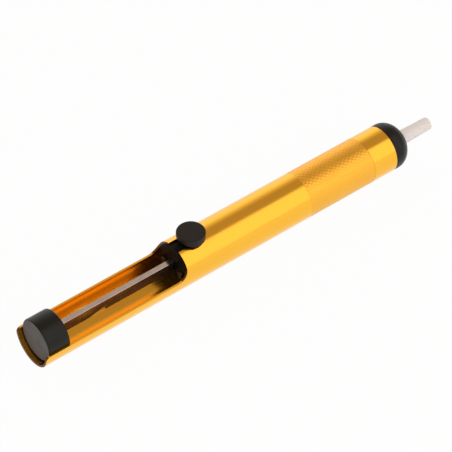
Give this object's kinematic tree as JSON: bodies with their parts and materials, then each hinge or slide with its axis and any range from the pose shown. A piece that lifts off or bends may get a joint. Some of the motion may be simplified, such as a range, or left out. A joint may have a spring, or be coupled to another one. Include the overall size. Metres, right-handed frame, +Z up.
{
  "type": "desoldering pump",
  "caption": "Hand-held desoldering pump: gold tube open into a trough at the rear, spring plunger with knob, release button, black nose and white nozzle.",
  "frame": {"origin": "centre of the bounding box's base: under the middle of the tool's length, on the plane the barrel lies on", "axes": "+X along the barrel's axis towards the nozzle, +Z up through the release button and the open side of the trough, +Y to the left when the nozzle points ahead"},
  "size_m": [0.199, 0.02, 0.0232],
  "materials": {
    "gold_anodised": "bright gold anodised, diamond knurl on the grip band",
    "black_knob": "black moulded plastic, semi-gloss",
    "black_housing": "black moulded plastic, satin",
    "black_button": "black moulded plastic, fine texture",
    "black_nose": "black moulded plastic, semi-gloss",
    "nozzle_ptfe": "translucent white PTFE, waxy",
    "rod_steel": "nickel-plated ground steel",
    "latch_steel": "stamped and zinc plated",
    "fastener_steel": "zinc plated",
    "spring_steel": "drawn spring wire",
    "needle_steel": "bright stainless",
    "bush_brass": "turned",
    "seal_rubber": "black nitrile, greased",
    "bumper_rubber": "black, matt",
    "gasket_silicone": "red-brown silicone",
    "piston_acetal": "white acetal",
    "seat_aluminium": "turned, plain"
  },
  "bodies": {
    "barrel": {"barrel": "gold_anodised", "latch_housing": "black_housing", "housing_cover": "black_housing", "cover_screws": "fastener_steel", "housing_screw": "fastener_steel", "rod_bush": "bush_brass", "piston_bumper": "bumper_rubber", "latch_spring": "spring_steel", "main_spring": "spring_steel"},
    "plunger": {"plunger_rod": "rod_steel", "plunger_knob": "black_knob", "piston_washer": "fastener_steel", "piston": "piston_acetal", "piston_seal": "seal_rubber", "spring_seat": "seat_aluminium", "piston_nut": "fastener_steel", "cleaning_needle": "needle_steel"},
    "button": {"button_cap": "black_button", "latch_plate": "latch_steel", "latch_pin": "fastener_steel"},
    "nose": {"nose_cap": "black_nose", "nose_ring": "seal_rubber", "nozzle": "nozzle_ptfe", "nozzle_gasket": "gasket_silicone", "spring_washer": "seat_aluminium"}
  },
  "joints": [
    {"name": "plunger_slide", "type": "slide", "parent": "barrel", "child": "plunger", "axis": [1, 0, 0], "range_m": [0, 0.0444], "stiffness_N_per_m": 350, "springref_m": -0.01, "deforming": ["main_spring"]},
    {"name": "button_press", "type": "slide", "parent": "barrel", "child": "button", "axis": [0, 0, -1], "range_m": [0, 0.0012], "stiffness_N_per_m": 800, "springref_m": -0.0015, "deforming": ["latch_spring"]},
    {"name": "nose_draw", "type": "slide", "parent": "barrel", "child": "nose", "axis": [1, 0, 0], "range_m": [0, 0.03]}
  ]
}
